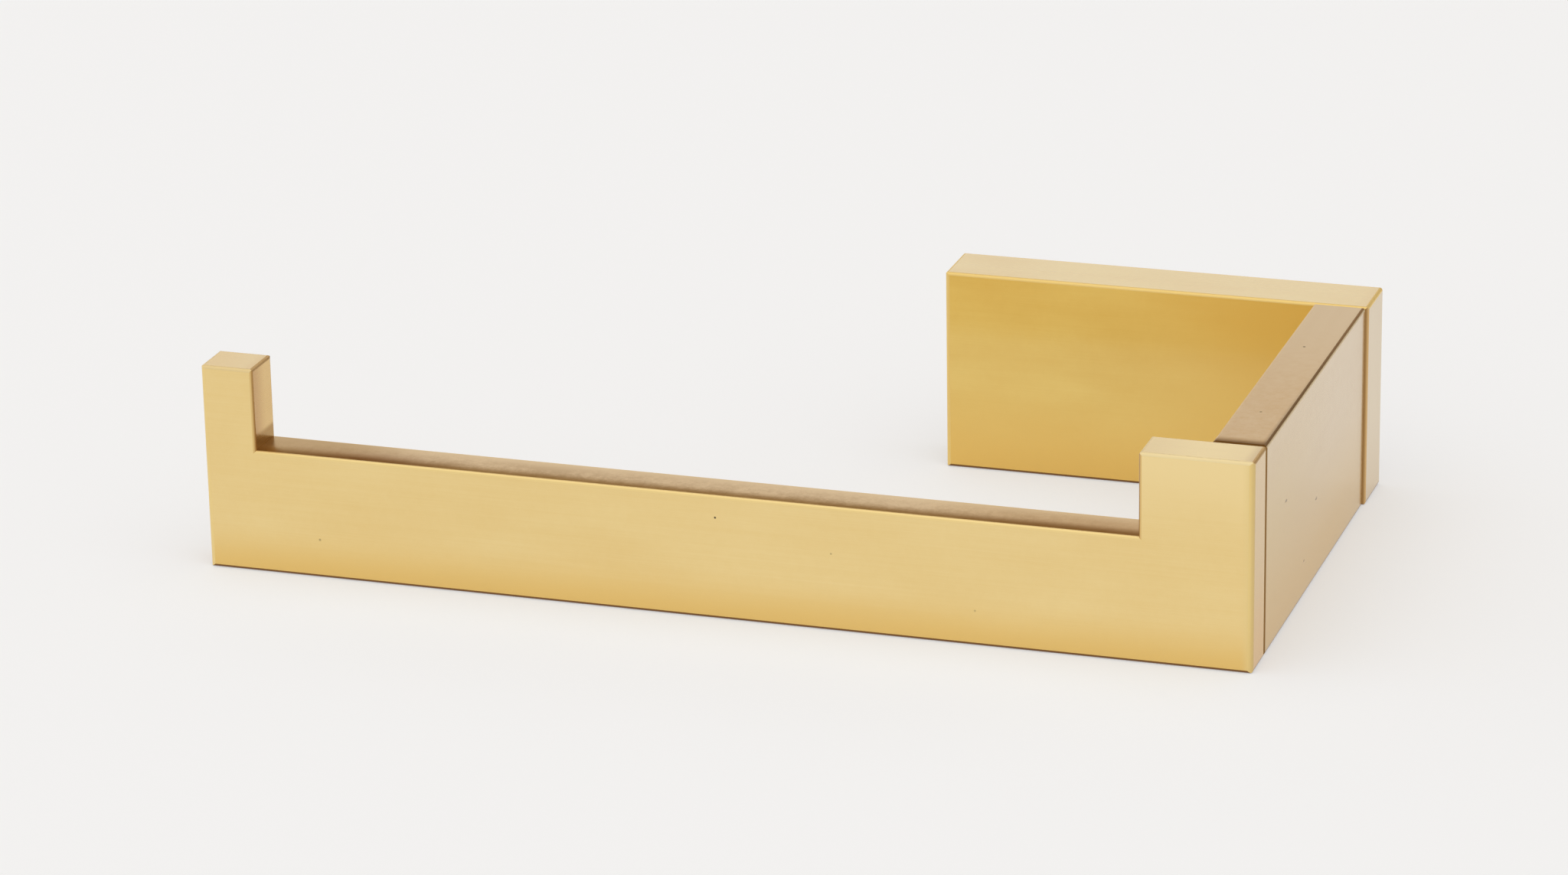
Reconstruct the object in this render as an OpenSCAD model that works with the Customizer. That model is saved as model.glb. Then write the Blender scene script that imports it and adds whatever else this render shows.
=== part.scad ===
// Open-ended toilet paper holder in solid brass. A front bar with a long notch carries the
// roll, a side arm holds the bar off the wall, and a milled wall plate hooks over a hidden
// bracket, where two set screws lock it.
//
// Millimetres, +Z up. The wall is the plane Y = 0 and the holder stands out along -Y.
// The origin is the middle of the wall plate's back. The arm and the post are at +X and the
// hook, where the roll slides on, is at -X.

/* [Brass stock] */
// Height shared by the hook, the post, the arm and the wall plate
stock_h = 35; // [30:0.5:50]
// Radius that eases the long edges of the brass
edge_r = 0.5; // [0.2:0.05:0.8]
// Softer radius on the upright corners at the ends of the bar and the plate
corner_r = 0.8; // [0.3:0.05:1.2]

/* [Front bar] */
// Overall length of the bar
bar_len = 176; // [150:1:220]
// Front-to-back thickness of the bar
bar_t = 8; // [7:0.1:14]
// Height of the bar under the roll
bar_body_h = 21; // [14:0.5:27]
// Width of the upturned hook at the free end
hook_w = 9.1; // [6:0.1:20]
// Width of the post that the arm meets
post_w = 18.4; // [14:0.1:40]

/* [Side arm] */
// Thickness of the arm from side to side
arm_t = 8.7; // [8:0.1:13]
// Length of the arm between the bar and the wall plate
arm_len = 70; // [50:1:100]

/* [Wall plate] */
// Width of the wall plate
plate_w = 73.2; // [67:0.1:120]
// Depth of the wall plate out from the wall
plate_t = 11; // [10.5:0.1:16]
// How far the plate stands out beyond the arm's outer side
plate_reveal = 0.5; // [0.2:0.1:1.5]
// Thickness of the rim round the plate's pocket
rim_t = 2.5; // [2:0.1:3.5]
// Thickness of the plate's face in front of the pocket
face_t = 3; // [2:0.1:4]
// Metal between the pocket and the counterbores beside it
pocket_wall = 1.8; // [1:0.1:3]
// Corner radius that the cutter leaves in the pocket
pocket_corner_r = 2; // [1:0.25:4]
// Metal that each tie screw's head pulls on
seat_t = 5; // [4:0.1:5.9]

/* [Wall bracket] */
// Gap between the bracket and the pocket at each end
bracket_end_gap = 2; // [0.5:0.25:4]
// Gap between the bracket and the plate's face
bracket_face_gap = 2; // [0.5:0.25:3]
// How far each flank of the bracket slopes in towards the wall
undercut = 1.8; // [1:0.1:2.5]
// Spare height that lets the plate lift over the bracket
lift_gap = 1; // [0.5:0.1:2]
// Depth of the plate's hook ledge, which sits behind the upper flank
ledge_t = 3; // [2:0.1:4]
// Clearance between the ledge and the upper flank
ledge_gap = 0.05; // [0.02:0.01:0.2]
// Corner radius of the bracket
bracket_corner_r = 1.5; // [0.5:0.25:3]
// Bevel round the bracket's outer face, which leads the plate over it
bracket_bevel = 0.5; // [0.2:0.1:1]
// Distance between the centres of the wall screw slots
slot_spacing = 32; // [24:1:34]
// Width of each wall screw slot
slot_w = 4.6; // [4:0.1:5.5]
// End-to-end length of each wall screw slot
slot_len = 9; // [7:0.5:11]
// Width of the recess that takes a wall screw's head
recess_w = 9; // [8:0.5:11]
// Thickness of the web under a wall screw's head
slot_web_t = 3; // [2:0.25:4]

/* [Tie screws] */
// Diameter of the tie screws' thread
tie_d = 4; // [3:0.5:4.5]
// Distance of each tie screw from the nearer of the top and the bottom
tie_inset = 6.5; // [5.5:0.1:7]
// Clearance all round a tie screw in its bore
tie_clear = 0.25; // [0.1:0.05:0.4]
// Length of tie screw thread inside the bar
tie_thread = 3.8; // [2.5:0.1:4.2]
// Spare depth of the bar's tapped hole beyond the screw's tip
tap_spare = 0.8; // [0.4:0.1:1.5]
// Diameter of a tie screw's head
tie_head_d = 7; // [6:0.1:7.2]
// Height of a tie screw's head
tie_head_h = 4; // [3:0.1:4.4]
// Clearance all round a tie screw's head in its counterbore
head_clear = 0.25; // [0.1:0.05:0.5]
// Hexagon socket of a tie screw, across its flats
tie_hex = 3; // [2:0.1:3.5]
// Depth of a tie screw's socket
tie_hex_depth = 2; // [1:0.1:2.5]
// Thickness of the spring washers under the tie screws' heads
washer_t = 1.2; // [0.6:0.1:1.5]
// Width of the slit in a spring washer
washer_slit = 0.5; // [0.2:0.1:1]

/* [Locating pins] */
// Diameter of the locating pins
pin_d = 3; // [2:0.5:4]
// Length of the locating pins
pin_len = 7; // [5:0.5:8]
// Distance between the two pins of a joint
pin_spacing = 8; // [6:0.5:9]
// Spare depth at each end of a pin
pin_spare = 0.1; // [0.05:0.05:0.3]

/* [Set screws] */
// Diameter of the set screws' thread
set_d = 4; // [3:0.5:5]
// Distance of each set screw from the nearer end of the bracket
set_inset = 10; // [6:0.5:16]
// Radius of the flat point of a set screw
set_point_r = 1; // [0.5:0.1:1.3]
// Metal of the bracket beyond a set screw's point
set_margin = 0.6; // [0.3:0.1:1.5]
// How far a set screw sits inside the plate's underside
set_recess = 0.4; // [0.2:0.1:1]
// Hexagon socket of a set screw, across its flats
set_hex = 2; // [1.5:0.1:2]
// Depth of a set screw's socket
set_hex_depth = 1.6; // [1:0.1:2]
// Bevel at the mouth of a set screw's hole
mouth_bevel = 0.3; // [0.1:0.1:0.4]

/* [Hidden] */

// Fineness of the round surfaces
$fn = 48;

// Radial clearance of a thread or a pin in its hole
snug = 0.02;
// Clearance that keeps a set screw's point just off the bracket
touch = 0.03;
// How far a cut runs past the face that it opens
over = 1;

// Colours of the brass and of the steel
brass = [0.86, 0.75, 0.5];
steel = [0.7, 0.71, 0.73];

// Distances out from the wall, each one along -Y
arm_back = plate_t;
arm_front = arm_back + arm_len;
bar_front = arm_front + bar_t;

// Places across the holder
plate_right = plate_w / 2;
arm_right = plate_right - plate_reveal;
tie_x = arm_right - arm_t / 2;
bar_left = arm_right - bar_len;

// Heights
half_h = stock_h / 2;
tie_z = half_h - tie_inset;
pin_z = pin_spacing / 2;

// Holes for the tie screws
tie_bore_r = tie_d / 2 + tie_clear;
tap_r = tie_d / 2 + snug;
counterbore_r = tie_head_d / 2 + head_clear;
tie_head_top = plate_t - seat_t - washer_t - tie_head_h;

// The pocket in the back of the wall plate, beside the counterbores
pocket_left = -plate_right + rim_t;
pocket_right = tie_x - counterbore_r - pocket_wall;
pocket_depth = plate_t - face_t;
pocket_half_h = half_h - rim_t;

// The bracket in the pocket, with its flanks sloping in towards the wall
bracket_left = pocket_left + bracket_end_gap;
bracket_right = pocket_right - bracket_end_gap;
bracket_x = (bracket_left + bracket_right) / 2;
bracket_w = bracket_right - bracket_left;
bracket_t = pocket_depth - bracket_face_gap;
bracket_face_half = pocket_half_h - undercut - lift_gap;
recess_len = slot_len + recess_w - slot_w;

// The set screws, which bear on the lower flank
set_out = bracket_t - set_margin - set_point_r;
set_tip_z = -flank_z(set_out + set_point_r) - touch;
set_len = set_tip_z + half_h - set_recess;

// Half the bracket's height at a distance out from the wall
function flank_z(out) = bracket_face_half - undercut * (1 - out / bracket_t);

// Where a set screw is across the holder
function set_screw_x(side) = side < 0 ? bracket_left + set_inset : bracket_right - set_inset;

// A rectangle about the origin, with rounded corners of one radius at -X and one at +X
module rounded_rect(w, h, r_low, r_high) {
    translate([(r_low - r_high) / 2, 0])
        square([w - r_low - r_high, h], center = true);
    for (side = [-1, 1]) {
        r = side < 0 ? r_low : r_high;
        translate([side * (w - r) / 2, 0])
            square([r, h - 2 * r], center = true);
        for (end = [-1, 1])
            translate([side * (w / 2 - r), end * (h / 2 - r)])
                circle(r = r);
    }
}

// A block about the origin with every edge eased. Its upright corners have a radius of their
// own at each end.
module eased_block(w, t, h, r_low, r_high) {
    intersection() {
        linear_extrude(h + 2 * over, center = true)
            rounded_rect(w, t, r_low, r_high);
        rotate([90, 0, 90])
            linear_extrude(w + 2 * over, center = true)
                rounded_rect(t, h, edge_r, edge_r);
        rotate([90, 0, 0])
            linear_extrude(t + 2 * over, center = true)
                rounded_rect(w, h, edge_r, edge_r);
    }
}

// A round shape turned from a profile of radius and height, pointing along +Y
module turned_along_y(profile) {
    rotate([-90, 0, 0])
        rotate_extrude()
            polygon(profile);
}

// A hole of radius r whose axis runs along Y, between two distances out from the wall
module hole_out(r, near, far) {
    translate([0, -near, 0])
        rotate([90, 0, 0])
            cylinder(r = r, h = far - near);
}

// A flat-ended slot with round ends, along X
module slot_2d(length, w) {
    square([length - w, w], center = true);
    for (side = [-1, 1])
        translate([side * (length - w) / 2, 0])
            circle(d = w);
}

// A hexagon socket sunk from z = 0, given across its flats
module hex_socket(flats, depth) {
    translate([0, 0, -depth])
        cylinder(d = flats / cos(30), h = depth + over, $fn = 6);
}

// The tie screws' places, above and below the middle
module at_ties() {
    for (side = [-1, 1])
        translate([tie_x, 0, side * tie_z])
            children();
}

// The blind holes for the two pins of the joint at a distance out from the wall. They run
// inwards, towards the wall, or outwards
module pin_holes(out, outwards) {
    depth = pin_len / 2 + pin_spare;
    for (side = [-1, 1])
        translate([tie_x, 0, side * pin_z])
            if (outwards)
                hole_out(pin_d / 2 + snug, out - over, out + depth);
            else
                hole_out(pin_d / 2 + snug, out - depth, out + over);
}

// The bar that carries the roll: a hook, a lower body and a post in one piece
module front_bar() {
    y = -(arm_front + bar_front) / 2;
    color(brass)
        difference() {
            union() {
                translate([bar_left + bar_len / 2, y, (bar_body_h - stock_h) / 2])
                    eased_block(bar_len, bar_t, bar_body_h, corner_r, corner_r);
                translate([bar_left + hook_w / 2, y, 0])
                    eased_block(hook_w, bar_t, stock_h, corner_r, edge_r);
                translate([arm_right - post_w / 2, y, 0])
                    eased_block(post_w, bar_t, stock_h, edge_r, corner_r);
            }
            at_ties() hole_out(tap_r, arm_front - over, arm_front + tie_thread + tap_spare);
            pin_holes(arm_front, true);
        }
}

// The block between the bar and the wall plate, bored from end to end for the tie screws
module side_arm() {
    color(brass)
        difference() {
            translate([tie_x, -(arm_back + arm_front) / 2, 0])
                eased_block(arm_t, arm_len, stock_h, edge_r, edge_r);
            at_ties() hole_out(tie_bore_r, arm_back - over, arm_front + over);
            pin_holes(arm_front, false);
            pin_holes(arm_back, true);
        }
}

// The profile of the pocket, in distance out from the wall and height. Its upper side steps
// down to the hook ledge, which slopes with the bracket's flank.
module pocket_profile() {
    polygon([
        [-over, -pocket_half_h],
        [pocket_depth, -pocket_half_h],
        [pocket_depth, pocket_half_h],
        [ledge_t, pocket_half_h],
        [ledge_t, flank_z(ledge_t) + ledge_gap],
        [-over, flank_z(-over) + ledge_gap]
    ]);
}

// The pocket that goes over the bracket
module pocket() {
    w = pocket_right - pocket_left;
    intersection() {
        translate([pocket_right + over, 0, 0])
            rotate([90, 0, -90])
                linear_extrude(w + 2 * over)
                    pocket_profile();
        translate([pocket_left + w / 2, over, 0])
            rotate([90, 0, 0])
                linear_extrude(pocket_depth + 2 * over)
                    rounded_rect(w, 2 * pocket_half_h, pocket_corner_r, pocket_corner_r);
    }
}

// The wall plate: a thick face with its edges eased, milled out behind and flat at the wall
module wall_plate() {
    past_wall = 2 * corner_r;
    color(brass)
        difference() {
            translate([0, (past_wall - plate_t) / 2, 0])
                eased_block(plate_w, plate_t + past_wall, stock_h, corner_r, corner_r);
            translate([-plate_w, 0, -stock_h])
                cube([2 * plate_w, 2 * past_wall, 2 * stock_h]);
            pocket();
            at_ties() hole_out(tie_bore_r, -over, arm_back + over);
            at_ties() hole_out(counterbore_r, -over, plate_t - seat_t);
            pin_holes(arm_back, false);
            set_screw_holes();
        }
}

// The tapped holes for the set screws, up through the plate's lower rim
module set_screw_holes() {
    r = set_d / 2 + snug;
    for (side = [-1, 1])
        translate([set_screw_x(side), -set_out, -half_h]) {
            translate([0, 0, -over])
                cylinder(r = r, h = rim_t + 2 * over);
            translate([0, 0, -over])
                cylinder(r1 = r + mouth_bevel + over, r2 = r, h = mouth_bevel + over);
        }
}

// The profile of the bracket, in distance out from the wall and height
module bracket_profile() {
    bevel_out = bracket_t - bracket_bevel;
    polygon([
        [0, -flank_z(0)],
        [bevel_out, -flank_z(bevel_out)],
        [bracket_t, -flank_z(bevel_out) + bracket_bevel],
        [bracket_t, flank_z(bevel_out) - bracket_bevel],
        [bevel_out, flank_z(bevel_out)],
        [0, flank_z(0)]
    ]);
}

// The bracket that is screwed to the wall. Its flanks are wider away from the wall, so the
// ledge hooks behind the upper one and the set screws wedge under the lower one.
module wall_bracket() {
    color(steel)
        difference() {
            intersection() {
                translate([bracket_right, 0, 0])
                    rotate([90, 0, -90])
                        linear_extrude(bracket_w)
                            bracket_profile();
                translate([bracket_x, over, 0])
                    rotate([90, 0, 0])
                        linear_extrude(bracket_t + 2 * over)
                            rounded_rect(
                                bracket_w, 2 * bracket_face_half,
                                bracket_corner_r, bracket_corner_r
                            );
            }
            for (side = [-1, 1])
                translate([bracket_x + side * slot_spacing / 2, over, 0])
                    rotate([90, 0, 0]) {
                        linear_extrude(bracket_t + 2 * over)
                            slot_2d(slot_len, slot_w);
                        translate([0, 0, over + slot_web_t])
                            linear_extrude(bracket_t)
                                slot_2d(recess_len, recess_w);
                    }
        }
}

// A tie screw with its head towards the wall. It clamps the plate, the arm and the bar.
module tie_screw(side) {
    r = tie_d / 2;
    head_r = tie_head_d / 2;
    bevel = 0.4;
    shank = washer_t + seat_t + arm_len + tie_thread;
    color(steel)
        translate([tie_x, -tie_head_top, side * tie_z])
            difference() {
                turned_along_y([
                    [0, 0],
                    [head_r - bevel, 0],
                    [head_r, -bevel],
                    [head_r, -tie_head_h],
                    [r, -tie_head_h],
                    [r, bevel - tie_head_h - shank],
                    [r - bevel, -tie_head_h - shank],
                    [0, -tie_head_h - shank]
                ]);
                rotate([-90, 0, 0])
                    hex_socket(tie_hex, tie_hex_depth);
            }
}

module tie_screw_upper() { tie_screw(1); }

module tie_screw_lower() { tie_screw(-1); }

// A split spring washer, pressed flat under the head of a tie screw
module spring_washer(side) {
    color(steel)
        translate([tie_x, 0, side * tie_z])
            difference() {
                hole_out(tie_head_d / 2, plate_t - seat_t - washer_t, plate_t - seat_t);
                hole_out(tie_bore_r, 0, plate_t);
                translate([tie_head_d / 2, -plate_t / 2, 0])
                    cube([tie_head_d, plate_t, washer_slit], center = true);
            }
}

module spring_washer_upper() { spring_washer(1); }

module spring_washer_lower() { spring_washer(-1); }

// A locating pin, half in each of the two pieces that meet at a distance out from the wall
module locating_pin(out, side) {
    r = pin_d / 2;
    bevel = 0.3;
    color(steel)
        translate([tie_x, -out, side * pin_z])
            turned_along_y([
                [0, -pin_len / 2],
                [r - bevel, -pin_len / 2],
                [r, bevel - pin_len / 2],
                [r, pin_len / 2 - bevel],
                [r - bevel, pin_len / 2],
                [0, pin_len / 2]
            ]);
}

module front_pin_upper() { locating_pin(arm_front, 1); }

module front_pin_lower() { locating_pin(arm_front, -1); }

module rear_pin_upper() { locating_pin(arm_back, 1); }

module rear_pin_lower() { locating_pin(arm_back, -1); }

// A headless screw in the plate's underside, with its flat point up against the bracket
module set_screw(side) {
    r = set_d / 2;
    color(steel)
        translate([set_screw_x(side), -set_out, set_tip_z])
            difference() {
                rotate_extrude()
                    polygon([
                        [0, -set_len],
                        [r, -set_len],
                        [r, set_point_r - r],
                        [set_point_r, 0],
                        [0, 0]
                    ]);
                translate([0, 0, -set_len])
                    mirror([0, 0, 1])
                        hex_socket(set_hex, set_hex_depth);
            }
}

module set_screw_left() { set_screw(-1); }

module set_screw_right() { set_screw(1); }

front_bar();
side_arm();
wall_plate();
wall_bracket();
tie_screw_upper();
tie_screw_lower();
spring_washer_upper();
spring_washer_lower();
front_pin_upper();
front_pin_lower();
rear_pin_upper();
rear_pin_lower();
set_screw_left();
set_screw_right();
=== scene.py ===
"""Looks of an open-ended toilet paper holder.

Three satin brass pieces show from the front: a notched bar, a side arm and a wall plate. The
back of the wall plate shows the steel bracket that it hooks over and the screws that clamp
the brass together. The holder's sizes are in millimetres here, and its meshes are scaled to
metres when they are finished. The studio's sizes are in metres.
"""

import logging
import math
from collections.abc import Callable, Mapping, Sequence
from dataclasses import dataclass, field, replace
from enum import Enum, IntEnum

import bmesh
import bpy
from mathutils import Euler, Matrix, Vector


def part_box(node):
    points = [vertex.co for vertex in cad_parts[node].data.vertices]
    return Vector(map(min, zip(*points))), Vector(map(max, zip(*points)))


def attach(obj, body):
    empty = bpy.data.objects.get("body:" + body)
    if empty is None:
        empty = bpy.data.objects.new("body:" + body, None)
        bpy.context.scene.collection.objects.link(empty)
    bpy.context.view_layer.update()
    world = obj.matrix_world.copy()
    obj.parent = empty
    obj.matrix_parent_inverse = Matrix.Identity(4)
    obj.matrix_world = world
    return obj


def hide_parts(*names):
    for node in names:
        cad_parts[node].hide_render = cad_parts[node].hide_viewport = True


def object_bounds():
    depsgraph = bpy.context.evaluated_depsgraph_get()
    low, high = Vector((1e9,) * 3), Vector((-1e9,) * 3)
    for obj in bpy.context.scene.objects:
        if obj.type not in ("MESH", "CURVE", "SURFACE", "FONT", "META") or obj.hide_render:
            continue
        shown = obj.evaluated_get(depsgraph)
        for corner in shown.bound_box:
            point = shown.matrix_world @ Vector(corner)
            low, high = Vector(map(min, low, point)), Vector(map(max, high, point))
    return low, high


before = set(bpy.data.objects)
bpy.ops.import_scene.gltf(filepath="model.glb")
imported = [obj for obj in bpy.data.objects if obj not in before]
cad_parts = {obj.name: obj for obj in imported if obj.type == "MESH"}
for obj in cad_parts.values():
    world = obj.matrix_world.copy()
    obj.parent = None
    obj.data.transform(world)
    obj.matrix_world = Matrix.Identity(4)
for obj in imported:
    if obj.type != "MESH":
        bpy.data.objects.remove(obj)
CAD_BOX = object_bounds()

LOG = logging.getLogger("toilet_paper_holder")
MM = 0.001
BODY = "root"
FLAT = 0.9995  # a face whose normal is closer than this to an axis is a flat one
UPRIGHT = 0.05  # an edge whose normal rises less than this is an upright one
LEVEL = 0.01  # a face closer than this to a plane lies in it
WELD = 0.001  # points closer than this are one

Colour = tuple[float, float, float]


def display(red: int, green: int, blue: int) -> Colour:
    """Turns a colour as a screen shows it, 0 to 255, into the linear one that a shader takes.

    Args:
        red: Amount of red.
        green: Amount of green.
        blue: Amount of blue.

    Returns:
        The linear colour, each part from 0 to 1.
    """
    def linear(part: int) -> float:
        """Undoes a screen's standard curve for one part."""
        part = part / 255
        return part / 12.92 if part <= 0.04045 else ((part + 0.055) / 1.055) ** 2.4

    return linear(red), linear(green), linear(blue)


def tinted(colour: Colour, red: float, green: float, blue: float) -> Colour:
    """Multiplies the three parts of a linear colour."""
    return colour[0] * red, colour[1] * green, colour[2] * blue


# ---------------------------------------------------------------------------------------
# Nodes
# ---------------------------------------------------------------------------------------


def math_method(operation: str, first: bool = True) -> Callable[..., "Value"]:
    """Makes a method of Value that adds one Math node.

    Args:
        operation: The Math node's operation.
        first: Whether the value itself is the first operand, or the second.

    Returns:
        The method.
    """
    def method(self: "Value", *others: "Value | float") -> "Value":
        """Works out the operation.

        Args:
            self: The value itself.
            others: The other operands.

        Returns:
            The result.
        """
        operands = [self, *others] if first else [*others, self]
        node = self.graph.add("ShaderNodeMath", {"operation": operation}, dict(enumerate(operands)))
        return Value(self.graph, node.outputs[0])

    return method


class Value:
    """A number that changes from place to place: an output socket of a node."""

    def __init__(self, graph: "Graph", socket: bpy.types.NodeSocket) -> None:
        """Holds a socket and the graph that it belongs to."""
        self.graph = graph
        self.socket = socket

    __add__ = __radd__ = math_method("ADD")
    __sub__ = math_method("SUBTRACT")
    __rsub__ = math_method("SUBTRACT", first=False)
    __mul__ = __rmul__ = math_method("MULTIPLY")
    __truediv__ = math_method("DIVIDE")
    __rtruediv__ = math_method("DIVIDE", first=False)
    __pow__ = math_method("POWER")
    __rpow__ = math_method("POWER", first=False)
    __abs__ = math_method("ABSOLUTE")
    fraction = math_method("FRACT")  # what is left above the whole number below
    larger = math_method("MAXIMUM")
    smaller = math_method("MINIMUM")
    angle_of = math_method("ARCTAN2")  # the angle with this value as its rise, the other as its run

    def eased(self, low: float, high: float) -> "Value":
        """Rises smoothly from 0 to 1 while this value goes from low to high.

        Args:
            low: Where the result leaves 0. It may lie above high.
            high: Where the result reaches 1.

        Returns:
            The eased value, from 0 to 1.
        """
        node = self.graph.add(
            "ShaderNodeMapRange",
            {"interpolation_type": "SMOOTHSTEP"},
            {"Value": self, "From Min": low, "From Max": high},
        )
        return Value(self.graph, node.outputs[0])


class Graph:
    """Adds nodes to one node tree and joins them."""

    def __init__(self, tree: bpy.types.NodeTree) -> None:
        """Holds the tree."""
        self.tree = tree

    def add(
        self,
        kind: str,
        settings: Mapping[str, object] | None = None,
        sockets: Mapping[int | str, object] | None = None,
    ) -> bpy.types.Node:
        """Adds one node, sets it up and fills its sockets.

        Args:
            kind: The node's type.
            settings: The node's own settings, which are made before its sockets are filled.
            sockets: What goes into each input socket, by its name or its number: a value, a
                socket to link from, or a number or colour.

        Returns:
            The node.
        """
        node = self.tree.nodes.new(kind)
        for name, setting in (settings or {}).items():
            setattr(node, name, setting)
        for name, value in (sockets or {}).items():
            socket = node.inputs[name]
            if isinstance(value, Value):
                self.tree.links.new(value.socket, socket)
            elif isinstance(value, bpy.types.NodeSocket):
                self.tree.links.new(value, socket)
            else:
                socket.default_value = value
        return node

    def value(self, node: bpy.types.Node, output: int | str = 0) -> Value:
        """Wraps one output of a node."""
        return Value(self, node.outputs[output])

    def place(self, kind: str = "ShaderNodeTexCoord", output: str = "Object") -> tuple[Value, ...]:
        """Gives the three coordinates of the place that is worked on.

        Args:
            kind: The node that they come from.
            output: Its output.

        Returns:
            The coordinates along X, Y and Z.
        """
        source = self.add(kind).outputs[output]
        parts = self.add("ShaderNodeSeparateXYZ", sockets={0: source})
        return tuple(Value(self, part) for part in parts.outputs)

    def vector(self, x: Value | float, y: Value | float, z: Value | float) -> Value:
        """Joins three values into a vector."""
        return self.value(self.add("ShaderNodeCombineXYZ", sockets={0: x, 1: y, 2: z}))

    def noise(self, at: Value, detail: float = 2.0, roughness: float = 0.5) -> Value:
        """Smooth noise around 0, from about -0.5 to 0.5.

        Args:
            at: Where the noise is read, with one unit to a bump.
            detail: How many finer octaves are added.
            roughness: How strong the finer octaves are.

        Returns:
            The noise.
        """
        node = self.add(
            "ShaderNodeTexNoise",
            {"noise_dimensions": "3D"},
            {"Vector": at, "Scale": 1.0, "Detail": detail, "Roughness": roughness},
        )
        return self.value(node) - 0.5

    def blend(self, share: Value | float, low: object, high: object) -> Value:
        """Mixes two colours.

        Args:
            share: How much of the second colour is taken, from 0 to 1.
            low: The first colour, as a linear colour or a value.
            high: The second colour.

        Returns:
            The mixed colour.
        """
        def padded(colour: object) -> object:
            """Adds the fourth part to a plain colour."""
            return colour if isinstance(colour, Value) else (*colour, 1.0)

        node = self.add(
            "ShaderNodeMix",
            {"data_type": "RGBA"},
            {0: share, 6: padded(low), 7: padded(high)},
        )
        return self.value(node, 2)


class ShapeTree(Graph):
    """A Geometry Nodes tree with named inputs, which ends in one plain mesh with a material."""

    def __init__(self, name: str, sizes: Mapping[str, float]) -> None:
        """Makes an empty tree.

        Args:
            name: The tree's name.
            sizes: The named inputs and what each one is set to.
        """
        super().__init__(bpy.data.node_groups.new(name, "GeometryNodeTree"))
        self.sizes = dict(sizes)
        interface = self.tree.interface
        interface.new_socket("Geometry", in_out="INPUT", socket_type="NodeSocketGeometry")
        for size in sizes:
            interface.new_socket(size, in_out="INPUT", socket_type="NodeSocketFloat")
        interface.new_socket("Material", in_out="INPUT", socket_type="NodeSocketMaterial")
        interface.new_socket("Geometry", in_out="OUTPUT", socket_type="NodeSocketGeometry")
        self.entry = self.add("NodeGroupInput")

    def given(self, name: str) -> Value:
        """Reads one of the tree's inputs."""
        return self.value(self.entry, name)

    def end(self, geometry: Value) -> None:
        """Joins the last nodes, which make the geometry real and dress it.

        Args:
            geometry: The finished geometry.
        """
        real = self.add("GeometryNodeRealizeInstances", sockets={"Geometry": geometry})
        dressed = self.add(
            "GeometryNodeSetMaterial",
            sockets={"Geometry": real.outputs[0], "Material": self.given("Material")},
        )
        self.add("NodeGroupOutput", sockets={"Geometry": dressed.outputs[0]})

    def run(self, base: bpy.types.Mesh, material: bpy.types.Material) -> bpy.types.Mesh:
        """Runs the tree on a mesh.

        Args:
            base: The mesh that the tree starts from, which may be empty, in millimetres.
            material: The material that the result takes.

        Returns:
            The result as a plain mesh, with its faces pointing outwards.
        """
        blank = bpy.data.objects.new(base.name, base)
        bpy.context.scene.collection.objects.link(blank)
        modifier = blank.modifiers.new("shape", "NODES")
        modifier.node_group = self.tree
        for item in self.tree.interface.items_tree:
            if item.in_out == "INPUT" and item.name in self.sizes:
                modifier[item.identifier] = float(self.sizes[item.name])
            elif item.name == "Material":
                modifier[item.identifier] = material
        graph = bpy.context.evaluated_depsgraph_get()
        mesh = bpy.data.meshes.new_from_object(blank.evaluated_get(graph), depsgraph=graph)
        blank.modifiers.remove(modifier)
        bpy.data.objects.remove(blank)
        shape = bmesh.new()
        shape.from_mesh(mesh)
        bmesh.ops.remove_doubles(shape, verts=shape.verts, dist=WELD)
        bmesh.ops.recalc_face_normals(shape, faces=shape.faces)
        shape.to_mesh(mesh)
        shape.free()
        return mesh


# ---------------------------------------------------------------------------------------
# Finishes
# ---------------------------------------------------------------------------------------


SCRATCH_DETAIL = 3.0  # finer octaves in a scratch
SCRATCH_BREAK = 0.65  # how strong they are
BROAD = 0.22  # how fine the broad scratches are, beside the fine ones
FINE_SHARE = 0.55  # how much of a streak the fine scratches make
DRIFT_ALONG = 0.04  # steps of the mottling over a millimetre along the grain
DRIFT_ACROSS = 0.12  # the same across the grain
SPECKLE_STEP = 0.7  # steps of the speckle over a millimetre
GRIT_STEP = 5.0  # steps of a cutter's graininess over a millimetre
CRUMBLE = 0.7  # how strong the finer octaves of the speckle and the graininess are
PIT_CORE = 0.4  # share of a pit's radius that is at its darkest
PIT_DULLING = 0.3  # how much rougher a pit is
QUARTER_TURN = 0.25  # turns a stretched highlight square to the brushing


class Along(IntEnum):
    """The axis that something runs along."""

    X = 0
    Y = 1
    Z = 2


@dataclass(frozen=True)
class Spot:
    """The place that a material shades.

    Attributes:
        graph: The material's graph.
        at: The place's three coordinates, in millimetres.
    """

    graph: Graph
    at: tuple[Value, ...]

    def noise(self, steps: Sequence[float], detail: float = 2.0, roughness: float = 0.5) -> Value:
        """Reads noise that follows the place.

        Args:
            steps: How many bumps there are to a millimetre along each axis.
            detail: How many finer octaves are added.
            roughness: How strong the finer octaves are.

        Returns:
            Noise around 0.
        """
        where = self.graph.vector(*[part * step for part, step in zip(self.at, steps)])
        return self.graph.noise(where, detail, roughness)


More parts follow.
